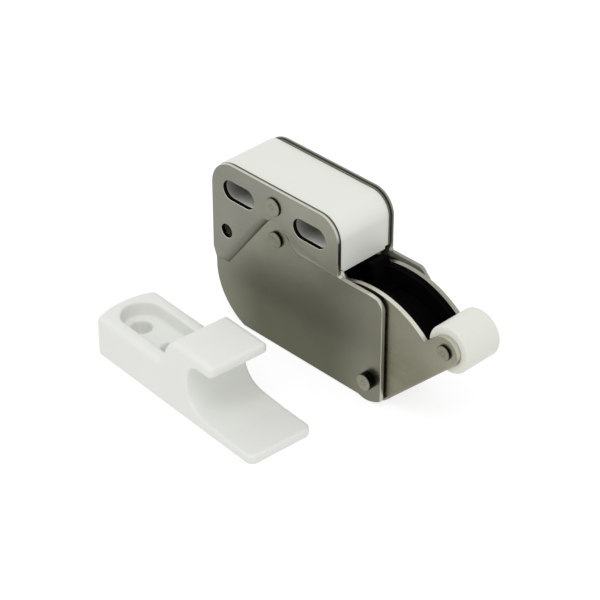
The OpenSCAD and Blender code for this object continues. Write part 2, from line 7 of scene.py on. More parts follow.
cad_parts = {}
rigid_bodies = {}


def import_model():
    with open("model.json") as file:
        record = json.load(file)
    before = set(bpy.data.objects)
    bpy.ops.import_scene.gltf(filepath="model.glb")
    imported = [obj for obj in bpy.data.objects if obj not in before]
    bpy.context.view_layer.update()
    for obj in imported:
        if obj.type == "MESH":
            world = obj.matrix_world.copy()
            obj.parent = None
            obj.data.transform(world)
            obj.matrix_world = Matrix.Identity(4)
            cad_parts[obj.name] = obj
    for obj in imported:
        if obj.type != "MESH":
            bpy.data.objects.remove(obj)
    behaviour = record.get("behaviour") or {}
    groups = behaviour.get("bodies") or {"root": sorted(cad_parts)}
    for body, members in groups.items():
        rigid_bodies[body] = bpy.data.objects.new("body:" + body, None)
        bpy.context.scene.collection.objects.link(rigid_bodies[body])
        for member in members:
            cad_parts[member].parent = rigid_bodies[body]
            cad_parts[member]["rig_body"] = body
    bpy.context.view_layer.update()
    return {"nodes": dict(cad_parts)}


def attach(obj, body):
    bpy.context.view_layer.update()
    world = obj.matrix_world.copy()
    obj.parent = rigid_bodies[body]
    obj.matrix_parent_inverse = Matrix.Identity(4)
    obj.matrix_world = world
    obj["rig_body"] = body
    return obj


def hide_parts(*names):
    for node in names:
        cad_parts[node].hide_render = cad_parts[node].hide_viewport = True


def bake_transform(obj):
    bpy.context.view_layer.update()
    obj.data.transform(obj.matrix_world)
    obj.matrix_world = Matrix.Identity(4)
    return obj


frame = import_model()
nodes = frame["nodes"]


# Side plates: two mirrored blanks of 0.8 mm steel sheet, nickel plated after pressing.
# Below the spacer block a press has set them in by 0.65 mm, with soft creases. The cut edges carry thin
# rims with a painted highlight, and the torn walls in the slots and the hole are dull and painted dark as
# shade.

MM = 0.001
SMOOTH_TO = 38


def linear(code):
    """Turns an sRGB hex colour into the linear one that a shader takes."""
    channels = [int(code[i:i + 2], 16) / 255 for i in (1, 3, 5)]
    return [c / 12.92 if c <= 0.04045 else ((c + 0.055) / 1.055) ** 2.4 for c in channels] + [1.0]


def fill(tree, node, inputs):
    """Sets a node's inputs, each to a value or to the socket that feeds it."""
    for key, value in inputs.items():
        if isinstance(value, bpy.types.NodeSocket):
            tree.links.new(value, node.inputs[key])
        else:
            node.inputs[key].default_value = value
    return node


def add(tree, kind, inputs=None, **settings):
    """Adds a node with its settings and inputs."""
    node = tree.nodes.new(kind)
    for name, value in settings.items():
        setattr(node, name, value)
    return fill(tree, node, inputs or {})


def calculate(tree, operation, *values, clamp=False):
    """Adds a Math node on values or sockets and returns its result."""
    inputs = dict(enumerate(values))
    return add(tree, "ShaderNodeMath", inputs, operation=operation, use_clamp=clamp).outputs[0]


def vector_maths(tree, operation, inputs, result=0):
    """Adds a Vector Math node and returns one of its results."""
    return add(tree, "ShaderNodeVectorMath", inputs, operation=operation).outputs[result]


def ramp(tree, value, start, end, low=0.0, high=1.0, smooth=False):
    """Carries a value from the range start to end over to the range low to high, with soft ends if smooth."""
    inputs = {"Value": value, "From Min": start, "From Max": end, "To Min": low, "To Max": high}
    kind = "SMOOTHSTEP" if smooth else "LINEAR"
    return add(tree, "ShaderNodeMapRange", inputs, interpolation_type=kind).outputs[0]


def mix(tree, factor, first, second):
    """Blends from a first colour to a second one, each a hex code or a socket."""
    first, second = [linear(c) if isinstance(c, str) else c for c in (first, second)]
    inputs = {"Factor": factor, "A": first, "B": second}
    return add(tree, "ShaderNodeMix", inputs, data_type="RGBA").outputs["Result"]


def scaled(tree, colour, strength):
    """Multiplies a colour by a strength."""
    return vector_maths(tree, "SCALE", {0: colour, 3: strength})


def parts(tree, vector):
    """Splits a vector into its X, Y and Z."""
    return add(tree, "ShaderNodeSeparateXYZ", {0: vector}).outputs


def noise(tree, point, grain, detail):
    """Adds noise with grains of about so many mm and returns its strength."""
    inputs = {"Vector": point, "Scale": 1 / (grain * MM), "Detail": detail}
    return add(tree, "ShaderNodeTexNoise", inputs).outputs["Fac"]


def streaks(tree, point, grains, turn=0):
    """Adds noise with grains of three lengths in mm, turned about Y by degrees, and returns its strength."""
    scale = [1 / (grain * MM) for grain in grains]
    inputs = {"Vector": point, "Rotation": (0, math.radians(turn), 0), "Scale": scale}
    drawn_out = add(tree, "ShaderNodeMapping", inputs).outputs[0]
    return add(tree, "ShaderNodeTexNoise", {"Vector": drawn_out, "Scale": 1.0, "Detail": 2.0}).outputs["Fac"]


def dents(tree, height, strength, depth, invert=False):
    """Turns a height into a bump of a depth in mm and returns its normal."""
    inputs = {"Height": height, "Strength": strength, "Distance": depth * MM}
    return add(tree, "ShaderNodeBump", inputs, invert=invert).outputs[0]


def start_material(name):
    """Makes an empty material and returns it with its tree, its shader and the outputs of its coordinates."""
    material = bpy.data.materials.new(name)
    material.use_nodes = True
    tree = material.node_tree
    return material, tree, tree.nodes["Principled BSDF"], add(tree, "ShaderNodeTexCoord").outputs


# Points nearer than weld are joined, faces that bend less than flat_to are one, and edges that bend more than
# sharp_from are broken.
weld = 0.002 * MM
flat_to = math.radians(0.8)
sharp_from = math.radians(50)


def dress(node, name, rim, materials, rim_material=0, smooth_to=SMOOTH_TO):
    """Copies a CAD node, breaks its sharp edges by rim mm and lets the copy stand for the node.

    Edges of less than smooth_to degrees are shaded as one surface.
    """
    mesh = bpy.data.meshes.new(name)
    shape = bmesh.new()
    shape.from_mesh(nodes[node].data)
    bmesh.ops.remove_doubles(shape, verts=shape.verts, dist=weld)
    bmesh.ops.dissolve_limit(shape, angle_limit=flat_to, verts=shape.verts, edges=shape.edges)
    if rim > 0:
        sharp = [e for e in shape.edges if len(e.link_faces) == 2 and e.calc_face_angle() > sharp_from]
        bmesh.ops.bevel(shape, geom=sharp, offset=rim * MM, offset_type="OFFSET", segments=3, profile=0.5,
                        affect="EDGES", clamp_overlap=True, material=rim_material, loop_slide=True)
    shape.normal_update()
    for face in shape.faces:
        face.smooth = True
        if rim_material == 0:
            face.material_index = 0
    for edge in shape.edges:
        edge.smooth = len(edge.link_faces) == 2 and edge.calc_face_angle() < math.radians(smooth_to)
    shape.to_mesh(mesh)
    shape.free()
    for material in materials:
        mesh.materials.append(material)
    piece = bpy.data.objects.new(name, mesh)
    bpy.context.scene.collection.objects.link(piece)
    even = piece.modifiers.new("even_normals", "WEIGHTED_NORMAL")
    even.keep_sharp = True
    even.weight = 90
    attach(piece, nodes[node]["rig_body"])
    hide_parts(node)
    return piece


# Nickel plate on rolled steel: a warm grey mirror blurred by the rolling marks, with faint smudges of a few
# millimetres from handling. A painted reflection makes the pressed field darker and browner downwards, fading
# towards both ends, a painted sheen lightens the face to the right, and painted shade darkens the step's
# foot.
plate_nickel, tree, shader, coords = start_material("satin_nickel_on_pressed_steel")
place = parts(tree, coords["Object"])
facing = parts(tree, coords["Normal"])
depth = calculate(tree, "ABSOLUTE", place["Y"])
pressed = ramp(tree, depth, 6.2 * MM, 5.65 * MM, smooth=True)
# Painted reflection on the pressed field: darker and browner downwards, fading towards both ends.
down = ramp(tree, place["Z"], -7 * MM, -17 * MM, smooth=True)
painted_reflection_down = mix(tree, down, "#8F8F81", "#5B5B4C")
off_middle = calculate(tree, "SUBTRACT", place["X"], 4 * MM)
aside = calculate(tree, "ABSOLUTE", off_middle)
reflection_fade_aside = ramp(tree, aside, 7 * MM, 18 * MM, high=0.6, smooth=True)
pressed_painted_reflection = mix(tree, reflection_fade_aside, painted_reflection_down, "#8A8A7C")
# Painted sheen: the face above the step is lighter towards the right.
sheen = ramp(tree, place["X"], -4 * MM, 8 * MM, smooth=True)
face_tone_with_painted_sheen = mix(tree, sheen, "#85857A", "#949487")
tone = mix(tree, pressed, face_tone_with_painted_sheen, pressed_painted_reflection)
# Painted shade on the step down to the pressed field: darkest at its foot and where it faces right.
flat = calculate(tree, "ABSOLUTE", facing["Y"])
slope = ramp(tree, flat, 0.99, 0.935)
sunk = ramp(tree, depth, 6.25 * MM, 5.65 * MM)
turned_away = ramp(tree, facing["X"], -0.1, 0.25, low=0.42, high=0.95)
shaded = calculate(tree, "MULTIPLY", sunk, turned_away)
painted_crease_shade = calculate(tree, "MULTIPLY", slope, shaded)
sloped = mix(tree, painted_crease_shade, tone, "#4C4E44")
smudge = noise(tree, coords["Object"], 4.5, 3.0)
mottle = ramp(tree, smudge, 0.3, 0.7, low=0.96, high=1.04)
rolled = streaks(tree, coords["Object"], (6, 6, 0.35))
gloss = ramp(tree, rolled, 0.3, 0.7, low=0.28, high=0.36)
fill(tree, shader, {"Base Color": scaled(tree, sloped, mottle), "Metallic": 1.0, "Roughness": gloss})


def blanked_edge(name, dull, bright, tear_from, tear_to):
    """Cut edge of plated sheet: burnished and given a painted highlight where the punch went in, dull where
    it tore.

    Painted light makes upward edges and those at the nose brightest, and those in front brighter than those
    behind.
    The tear runs between two distances in mm from the latch's middle plane.
    """
    material, tree, shader, coords = start_material(name)
    place = parts(tree, coords["Object"])
    facing = parts(tree, coords["Normal"])
    deepest = 0.9 * MM
    set_in = ramp(tree, place["Z"], -4 * MM, -6 * MM, high=deepest)
    depth = calculate(tree, "ABSOLUTE", place["Y"])
    level = calculate(tree, "ADD", depth, set_in)
    # The band next to the outer face is burnish with a painted highlight on it.
    burnish = ramp(tree, level, tear_from * MM, tear_to * MM, smooth=True)
    tone = mix(tree, burnish, dull, bright)
    # Painted light: edges that look up, and edges at the nose, are brighter.
    nose = calculate(tree, "MULTIPLY", facing["X"], set_in)
    to_light = calculate(tree, "MULTIPLY_ADD", nose, 0.4 / deepest, facing["Z"])
    painted_light_by_facing = ramp(tree, to_light, -0.1, 0.6, low=0.4, smooth=True)
    scores = noise(tree, coords["Object"], 1.5, 2.0)
    wear = ramp(tree, scores, 0.0, 1.0, low=0.85, high=1.15)
    # Painted light: edges in front are brighter than those behind; the scores are random wear.
    painted_front_light = ramp(tree, place["Y"], 2 * MM, -2 * MM, low=0.5)
    wear_and_front_light = calculate(tree, "MULTIPLY", painted_front_light, wear)
    strength = calculate(tree, "MULTIPLY", painted_light_by_facing, wear_and_front_light)
    fill(tree, shader, {"Base Color": scaled(tree, tone, strength), "Metallic": 1.0, "Roughness": 0.3})
    return material


# Cut edges and the rims that bevel them: their bright band is a painted highlight on the burnish, brightest
# on the rims.
cut_nickel = blanked_edge("burnished_and_torn_nickel_edge_with_painted_light", "#45453D", "#C9C7BB", 5.7, 6.0)
rim_nickel = blanked_edge("nickel_rim_with_painted_highlight", "#55554B", "#E6E4D9", 5.7, 6.0)

# Torn wall of a punched slot: dull and uneven, since plating hardly reaches it, and painted near black as
# shade.
shaded_torn_steel, tree, shader, coords = start_material("dull_torn_steel_with_painted_shade")
tear = noise(tree, coords["Object"], 0.4, 3.0)
shaded_tear_tone = mix(tree, tear, "#0B0A08", "#2A2924")
fill(tree, shader, {"Base Color": shaded_tear_tone, "Metallic": 1.0, "Roughness": 0.55,
                    "Normal": dents(tree, tear, 0.3, 0.03)})

# Cut faces within reach of the middle of a slot or hole are its walls. pin_at, the pin's axis, is in mm.
plate_finishes = [plate_nickel, cut_nickel, shaded_torn_steel, rim_nickel]
slot_x = 8.0 * MM
slot_reach = Vector((3.7 * MM, 1.9 * MM))
fixing_hole = Vector((-10.95 * MM, -8.1 * MM))
fixing_hole_reach = 1.3 * MM
pin_at = Vector((20.78, -21.5))
pin_hole_reach = 1.6 * MM
# The photograph shows the step wider and its left run further out than the CAD model has them, so these
# points of its outer faces, which lie beyond outer_y, move: from x, z to x, z in mm. The upper edge of the
# step, beyond upper_y, is shaded softly. The lower part's end also reaches nose_more further, along a run
# that starts at nose_from, and the pin's hole stays as it is.
outer_y = 5.5 * MM
upper_y = 6.24 * MM
step_low = -15 * MM
step_high = -0.9 * MM
same_point = 0.25 * MM
nose_from = 20.45 * MM
nose_run = 2.3 * MM
nose_more = 0.55 * MM
nose_top = -5.2 * MM
step_moves = [((-1.91, -1.99), (-2.35, -1.6)), ((-2.24, -2.4), (-2.85, -2.05)),
              ((-10.42, -13.53), (-11.5, -12.5)), ((-14.25, -14.89), (-14.25, -12.4)),
              ((-1.27, -2.63), (-1.62, -2.2)), ((-1.5, -2.9), (-2.0, -2.55)),
              ((-9.85, -14.29), (-11.2, -14.55)), ((-14.25, -15.85), (-14.25, -14.9)),
              ((-1.0, -2.4), (-1.38, -2.02)), ((-0.69, -2.24), (-1.06, -1.89)),
              ((-0.35, -2.13), (-0.72, -1.82)), ((0.0, -2.1), (-0.36, -1.8)),
              ((0.35, -2.13), (0.03, -1.85)), ((0.69, -2.24), (0.44, -2.01)),
              ((1.0, -2.4), (0.83, -2.24)), ((5.09, -4.85), (5.4, -4.45))]
for node, name in (("side_plate_front", "front_plate"), ("side_plate_back", "back_plate")):
    plate = dress(node, name, 0.16, plate_finishes,
                  rim_material=plate_finishes.index(rim_nickel), smooth_to=25)
    for face in plate.data.polygons:
        x, _, z = face.center
        in_slot = abs(abs(x) - slot_x) < slot_reach.x and abs(z) < slot_reach.y
        in_hole = (Vector((x, z)) - fixing_hole).length < fixing_hole_reach
        if abs(face.normal.y) < 0.3:
            face.material_index = plate_finishes.index(shaded_torn_steel if in_slot or in_hole else cut_nickel)
    for vertex in plate.data.vertices:
        spot = Vector((vertex.co.x, vertex.co.z))
        for old, new in step_moves:
            if (spot - Vector(old) * MM).length < same_point and abs(vertex.co.y) > outer_y:
                vertex.co += Vector((new[0] - old[0], 0, new[1] - old[1])) * MM
                break
        if spot.x > nose_from and spot.y < nose_top and (spot - pin_at * MM).length > pin_hole_reach:
            vertex.co.x += nose_more * ((spot.x - nose_from) / nose_run) ** 2
    for edge in plate.data.edges:
        ends = [plate.data.vertices[i].co for i in edge.vertices]
        if all(abs(end.y) > upper_y and step_low < end.z < step_high for end in ends):
            edge.use_edge_sharp = False


# Spacer block: one white nylon moulding that fills the upper half between the plates.
# The rivet through it holds the plates, and both screw slots run on through it.

def moulded_nylon(name, pale, shade):
    """White nylon from a spark-eroded mould: dense, with a fine matt grain of about 0.2 mm."""
    material, tree, shader, coords = start_material(name)
    flow = noise(tree, coords["Object"], 9, 2.0)
    grain = noise(tree, coords["Object"], 0.22, 2.0)
    dull = ramp(tree, grain, 0.0, 1.0, low=0.38, high=0.52)
    fill(tree, shader, {"Base Color": mix(tree, flow, shade, pale), "Roughness": dull, "IOR": 1.53,
                        "Normal": dents(tree, grain, 0.12, 0.02)})
    return material


block_nylon = moulded_nylon("white_nylon_block", "#EAECE5", "#E6E9E1")

# Walls of the block's slots: the same nylon, but little light reaches in, so it greys inwards and leftwards.
slot_nylon, tree, shader, coords = start_material("shaded_nylon_in_slot")
place = parts(tree, coords["Object"])
depth = calculate(tree, "ABSOLUTE", place["Y"])
deep = ramp(tree, depth, 5.4 * MM, 1.0 * MM)
from_left = calculate(tree, "FLOORED_MODULO", place["X"], 2 * slot_x)
sheltered = ramp(tree, from_left, slot_x + 3 * MM, slot_x - 3 * MM)
dark = calculate(tree, "MULTIPLY_ADD", sheltered, 1.9, deep)
part_dark = calculate(tree, "MULTIPLY", dark, 0.34, clamp=True)
gloom = mix(tree, part_dark, "#F0F2EC", "#43473F")
fill(tree, shader, {"Base Color": gloom, "Roughness": 0.55})

block = dress("spacer_block", "block", 0.15, [block_nylon, slot_nylon])
block_slot_reach = Vector((4.3 * MM, 2.4 * MM))
for face in block.data.polygons:
    x, _, z = face.center
    in_slot = abs(abs(x) - slot_x) < block_slot_reach.x and abs(z) < block_slot_reach.y
    if in_slot and abs(face.normal.y) < 0.95:
        face.material_index = 1
# The photograph shows the block's top corner at the tail tighter than the plates', where the CAD model has
# the same one, so its points draw out from a radius of 4.6 mm to one of 3.3 mm.
wide_r = 4.6 * MM
tight_r = 3.3 * MM
wide_middle = Vector((-9.35, -0.24)) * MM
tight_middle = Vector((-10.65, 1.06)) * MM
corner_from = 4.2 * MM
touching = 0.01 * MM
for vertex in block.data.vertices:
    outward = Vector((vertex.co.x, vertex.co.z)) - wide_middle
    if outward.x < touching and outward.y > -touching and outward.length > corner_from:
        spot = tight_middle + outward * (1 - (wide_r - tight_r) / outward.length)
        vertex.co.x = spot.x
        vertex.co.z = spot.y


# Rivets and pins: turned steel rods with ends upset over the plates, nickel plated.
# The block rivet is flush at the back, the pivot pin stands furthest out at the front, and the
# riveting tool leaves a small round mark in the middle of each end; painted shade darkens the walls round it.
mark_r = 0.42 * MM
rivet_steel, tree, shader, coords = start_material("nickel_on_riveted_steel")
axis = add(tree, "ShaderNodeAttribute", attribute_name="axis").outputs["Vector"]
wall = add(tree, "ShaderNodeAttribute", attribute_name="wall").outputs["Fac"]
out = vector_maths(tree, "SUBTRACT", {0: coords["Object"], 1: axis})
across = vector_maths(tree, "MULTIPLY", {0: out, 1: (1, 0, 1)})
radius = vector_maths(tree, "LENGTH", {0: across}, result="Value")
off_mark = calculate(tree, "SUBTRACT", radius, mark_r)
near_mark = calculate(tree, "ABSOLUTE", off_mark)
mark = ramp(tree, near_mark, 0.16 * MM, 0.02 * MM, smooth=True)
smudge = noise(tree, coords["Object"], 1.1, 3.0)
cap_tone = mix(tree, smudge, "#79776A", "#9A9888")
marked = mix(tree, mark, cap_tone, "#7C7466")
# Painted shade: the walls of each end are near black.
cap_with_painted_wall_shade = mix(tree, wall, marked, "#12110D")
fill(tree, shader, {"Base Color": cap_with_painted_wall_shade, "Metallic": 1.0, "Roughness": 0.34,
                    "Normal": dents(tree, mark, 0.5, 0.05, invert=True)})


def start_tree(name, inputs):
    """Makes an empty geometry tree with named inputs; returns it with their sockets and what they give."""
    tree = bpy.data.node_groups.new(name, "GeometryNodeTree")
    sockets = {}
    for label, kind in inputs.items():
        sockets[label] = tree.interface.new_socket(label, in_out="INPUT", socket_type="NodeSocket" + kind)
    tree.interface.new_socket("Shape", in_out="OUTPUT", socket_type="NodeSocketGeometry")
    return tree, sockets, add(tree, "NodeGroupInput").outputs


def end_tree(tree, geometry, finish):
    """Gives what a tree has made its material and sends it out."""
    real = add(tree, "GeometryNodeRealizeInstances", {"Geometry": geometry})
    coated = add(tree, "GeometryNodeSetMaterial", {"Geometry": real.outputs[0], "Material": finish})
    add(tree, "NodeGroupOutput", {0: coated.outputs[0]})


# Lathe tree: eight stations along Y give a rod with a chamfered end on each side. Each station has a side of
# the middle plane, a distance from it, a radius, and whether it lies on the wall.
rod_lengths = ("Axis X", "Axis Z", "Shank radius", "Chamfer", "Front face", "Front radius", "Front height",
               "Back face", "Back radius", "Back height")
rod_inputs = {label: "Float" for label in rod_lengths}
rod_inputs["Finish"] = "Material"
rivet_tree, rivet_sockets, given = start_tree("riveted_rod", rod_inputs)
hair = 0.002 * MM
ends = []
for way, end in ((-1, "Front "), (1, "Back ")):
    face = given[end + "face"]
    wide = given[end + "radius"]
    top = calculate(rivet_tree, "ADD", face, given[end + "height"])
    shoulder = calculate(rivet_tree, "SUBTRACT", top, given["Chamfer"])
    cap = calculate(rivet_tree, "SUBTRACT", wide, given["Chamfer"])
    under = calculate(rivet_tree, "SUBTRACT", face, hair)
    ends.append([(way, top, cap, 0.0), (way, shoulder, wide, 1.0), (way, face, wide, 1.0),
                 (way, under, given["Shank radius"], 1.0)])
stations = ends[0] + ends[1][::-1]
row = add(rivet_tree, "GeometryNodeMeshLine", {"Count": len(stations)})
index = add(rivet_tree, "GeometryNodeInputIndex").outputs[0]
along, thick, side = [add(rivet_tree, "GeometryNodeIndexSwitch", {"Index": index}, data_type="FLOAT")
                      for _ in range(3)]
for switch in (along, thick, side):
    while len(switch.index_switch_items) < len(stations):
        switch.index_switch_items.new()
for i, (way, distance, width, on_wall) in enumerate(stations):
    fill(rivet_tree, along, {i + 1: calculate(rivet_tree, "MULTIPLY", distance, way)})
    fill(rivet_tree, thick, {i + 1: width})
    fill(rivet_tree, side, {i + 1: on_wall})
middle = add(rivet_tree, "ShaderNodeCombineXYZ", {"X": given["Axis X"], "Z": given["Axis Z"]}).outputs[0]
spot = add(rivet_tree, "ShaderNodeCombineXYZ",
           {"X": given["Axis X"], "Y": along.outputs[0], "Z": given["Axis Z"]}).outputs[0]
placed = add(rivet_tree, "GeometryNodeSetPosition", {"Geometry": row.outputs[0], "Position": spot})
walled = add(rivet_tree, "GeometryNodeStoreNamedAttribute",
             {"Geometry": placed.outputs[0], "Name": "wall", "Value": side.outputs[0]}, data_type="FLOAT")
rod = add(rivet_tree, "GeometryNodeMeshToCurve", {"Mesh": walled.outputs[0]})
ring = add(rivet_tree, "GeometryNodeCurvePrimitiveCircle", {"Resolution": 64, "Radius": 1.0})
turned = add(rivet_tree, "GeometryNodeCurveToMesh",
             {"Curve": rod.outputs[0], "Profile Curve": ring.outputs[0], "Scale": thick.outputs[0],
              "Fill Caps": True})
centred = add(rivet_tree, "GeometryNodeStoreNamedAttribute",
              {"Geometry": turned.outputs[0], "Name": "axis", "Value": middle}, data_type="FLOAT_VECTOR")
end_tree(rivet_tree, centred.outputs[0], given["Finish"])


def grow(tree, name, source, values, sockets):
    """Runs a tree on a source object with its inputs set, and keeps the result as a plain mesh piece."""
    made = source.modifiers.new(tree.name, "NODES")
    made.node_group = tree
    for label, value in values.items():
        made[sockets[label].identifier] = value
    bpy.context.view_layer.update()
    ready = source.evaluated_get(bpy.context.evaluated_depsgraph_get())
    mesh = bpy.data.meshes.new_from_object(ready)
    bpy.data.objects.remove(source)
    shape = bmesh.new()
    shape.from_mesh(mesh)
    bmesh.ops.remove_doubles(shape, verts=shape.verts, dist=hair / 4)
    bmesh.ops.recalc_face_normals(shape, faces=shape.faces)
    for face in shape.faces:
        face.smooth = True
    shape.to_mesh(mesh)
    shape.free()
    mesh.set_sharp_from_angle(angle=math.radians(SMOOTH_TO))
    piece = bpy.data.objects.new(name, mesh)
    bpy.context.scene.collection.objects.link(piece)
    return piece


def rod_piece(node, name, at, shank, front, back):
    """Makes a riveted rod at (x, z) mm; front and back are the seat, radius and height of its ends in mm."""
    blank = bpy.data.objects.new(name + "_blank", bpy.data.meshes.new(name + "_blank"))
    bpy.context.scene.collection.objects.link(blank)
    lengths = {"Axis X": at[0], "Axis Z": at[1], "Shank radius": shank, "Chamfer": 0.12,
               "Front face": front[0], "Front radius": front[1], "Front height": front[2],
               "Back face": back[0], "Back radius": back[1], "Back height": back[2]}
    values = {label: value * MM for label, value in lengths.items()}
    values["Finish"] = rivet_steel
    piece = grow(rivet_tree, name, blank, values, rivet_sockets)
    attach(piece, nodes[node]["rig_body"])
    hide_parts(node)


block_rivet_at = Vector((0.0, 1.4))
cross_rivet_at = Vector((0.0, -4.95))
axle_at = Vector((35.339, -9.37))
rod_piece("block_rivet", "upper_rivet", block_rivet_at, 1.0, (6.25, 1.6, 0.35), (6.0, 1.0, 0.25))
rod_piece("cross_rivet", "lower_rivet", cross_rivet_at, 1.0, (5.6, 1.4, 0.5), (5.6, 1.4, 0.5))
rod_piece("pivot_pin", "hinge_pin", pin_at, 1.1, (5.6, 1.45, 1.35), (5.6, 1.45, 0.5))
rod_piece("roller_axle", "axle", axle_at, 0.95, (4.5, 1.3, 0.45), (4.5, 1.3, 0.45))


# Sleeve, bush, washers and fixing tube: plain turned rings between the plates, hardly seen from outside.
# They are steel with a thin grey phosphate coat, and they stay as the CAD model has them.
ring_steel, tree, shader, coords = start_material("phosphated_turned_steel")
lathe_marks = streaks(tree, coords["Object"], (5, 0.25, 5))
ring_tone = mix(tree, lathe_marks, "#B4B4AC", "#D0CFC7")
fill(tree, shader, {"Base Color": ring_tone, "Metallic": 1.0, "Roughness": 0.42})
for node in ("cross_sleeve", "fixing_tube", "pivot_bush", "pivot_washers"):
    nodes[node].data.materials.clear()
    nodes[node].data.materials.append(ring_steel)


# Swing arm: a blank of 0.8 mm steel folded to a channel, two walls on a web, nickel plated.
# It turns on the hinge pin; its walls end in round bosses for the axle and in curved edges above with a
# painted highlight, and a painted reflection darkens the walls towards the bottom.
arm_nickel, tree, shader, coords = start_material("satin_nickel_on_folded_steel")
place = parts(tree, coords["Object"])
# Painted reflection: the walls darken towards the bottom.
low = ramp(tree, place["Z"], -10 * MM, -17 * MM, smooth=True)
tone = mix(tree, low, "#959383", "#7E7C69")
smudge = noise(tree, coords["Object"], 3.5, 3.0)
mottle = ramp(tree, smudge, 0.3, 0.7, low=0.95, high=1.05)
rolled = streaks(tree, coords["Object"], (6, 6, 0.35), turn=45)
gloss = ramp(tree, rolled, 0.3, 0.7, low=0.27, high=0.37)
fill(tree, shader, {"Base Color": scaled(tree, tone, mottle), "Metallic": 1.0, "Roughness": gloss})
# The arm's cut edges carry the same painted highlight and painted light by facing as the plates'.
arm_edge = blanked_edge("burnished_nickel_arm_edge_with_painted_highlight", "#77776B", "#D2D1C4", 4.0, 4.4)
arm = dress("swing_arm", "arm", 0, [arm_nickel, arm_edge])
web_deg = 44.67
web_way = Vector((math.cos(math.radians(web_deg)), math.sin(math.radians(web_deg))))
for face in arm.data.polygons:
    across_web = abs(face.normal.x * web_way.y - face.normal.z * web_way.x)
    if abs(face.normal.y) < 0.3 and across_web < 0.98:
        face.material_index = 1


# Roller: a white nylon roller that turns on the riveted axle and runs over the keeper's lip.
# It is one moulding, a little warmer in tone than the block, with small roundings at its ends.
roller_nylon = moulded_nylon("white_nylon_roller", "#E9EAE1", "#E4E5DB")
dress("roller", "door_roller", 0.1, [roller_nylon])


# Torsion spring: five turns of 0.8 mm spring wire round the hinge pin, wound cold, with a drawn finish.
# One leg lies against the sleeve on the cross rivet, the other on the arm's web, and they push the arm out.
wire_steel, tree, shader, coords = start_material("drawn_spring_wire")
drawing = noise(tree, coords["Object"], 0.6, 3.0)
wire_tone = mix(tree, drawing, "#5E5E5B", "#8A8A86")
wire_gloss = ramp(tree, drawing, 0.0, 1.0, low=0.25, high=0.4)
fill(tree, shader, {"Base Color": wire_tone, "Metallic": 1.0, "Roughness": wire_gloss})

# Wire tree: a round wire of a given radius along the source curve.
wire_inputs = {"Path": "Geometry", "Wire radius": "Float", "Finish": "Material"}
wire_tree, wire_sockets, given = start_tree("round_wire", wire_inputs)
section = add(wire_tree, "GeometryNodeCurvePrimitiveCircle",
              {"Resolution": 20, "Radius": given["Wire radius"]})
swept = add(wire_tree, "GeometryNodeCurveToMesh",
            {"Curve": given["Path"], "Profile Curve": section.outputs[0], "Fill Caps": True})
end_tree(wire_tree, swept.outputs[0], given["Finish"])


def wire_piece(name, points, wire_radius):
    """Bends a wire along points in mm."""
    curve = bpy.data.curves.new(name + "_path", "CURVE")
    curve.dimensions = "3D"
    line = curve.splines.new("POLY")
    line.points.add(len(points) - 1)
    for point, (x, y, z) in zip(line.points, points):
        point.co = (x * MM, y * MM, z * MM, 1)
    path = bpy.data.objects.new(name + "_path", curve)
    bpy.context.scene.collection.objects.link(path)
    return grow(wire_tree, name, path, {"Wire radius": wire_radius * MM, "Finish": wire_steel}, wire_sockets)


def polar(radius, degrees):
    """Point in the XZ plane at an angle about the origin."""
    return Vector((radius * math.cos(math.radians(degrees)), radius * math.sin(math.radians(degrees))))


# Lengths in mm. The coil runs from the leg on the sleeve to the leg on the web, both tangents to it.
sleeve_r = 1.9
run_fit = 0.05
arm_in = 3.7
coil_r = 2.96
wire_r = 0.4
wire_pitch = 2.1 * wire_r
turns = 5
steps = 40 * turns
side_gap = 0.3
past_sleeve = 1.2
web_leg = 10.1
to_pin = pin_at - cross_rivet_at
hook_r = sleeve_r + wire_r + run_fit
pin_deg = math.degrees(math.atan2(to_pin.y, to_pin.x))
leg_deg = pin_deg - math.degrees(math.asin((coil_r + hook_r) / to_pin.length))
coil_start = leg_deg - 90
coil_sweep = turns * 360 + web_deg - 90 - coil_start
leg_run = math.sqrt(to_pin.length ** 2 - (coil_r + hook_r) ** 2)
leg_y = -arm_in + wire_r + side_gap
rise = wire_pitch * coil_sweep / 360
coil_in = pin_at + polar(coil_r, coil_start)
coil_out = pin_at + polar(coil_r, coil_start + coil_sweep)
leg_top = coil_in - polar(leg_run + past_sleeve, leg_deg)
leg_end = coil_out + polar(web_leg, web_deg)
path = [(leg_top.x, leg_y, leg_top.y)]
for i in range(steps + 1):
    at = pin_at + polar(coil_r, coil_start + coil_sweep * i / steps)
    path.append((at.x, leg_y + rise * i / steps, at.y))
path.append((leg_end.x, leg_y + rise, leg_end.y))
spring = wire_piece("return_spring", path, wire_r)
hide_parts("torsion_spring")
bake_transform(spring)


# Latch cam: a black acetal moulding pegged into the arm's back wall. It fills the arm's channel with a
# dark trough, and the heart-shaped track in its side lets the follower hold the arm in and let it go.
cam_acetal, tree, shader, coords = start_material("black_acetal_with_painted_shade")
grain = noise(tree, coords["Object"], 0.3, 2.0)
# The acetal is black; painted shade takes it to almost none and takes away most of its sheen.
cam_black_with_painted_shade = mix(tree, grain, "#020202", "#060606")
fill(tree, shader, {"Base Color": cam_black_with_painted_shade, "Roughness": 0.8, "IOR": 1.48, "Specular IOR Level": 0.03,
                    "Normal": dents(tree, grain, 0.2, 0.03)})
dress("latch_cam", "cam", 0.08, [cam_acetal])


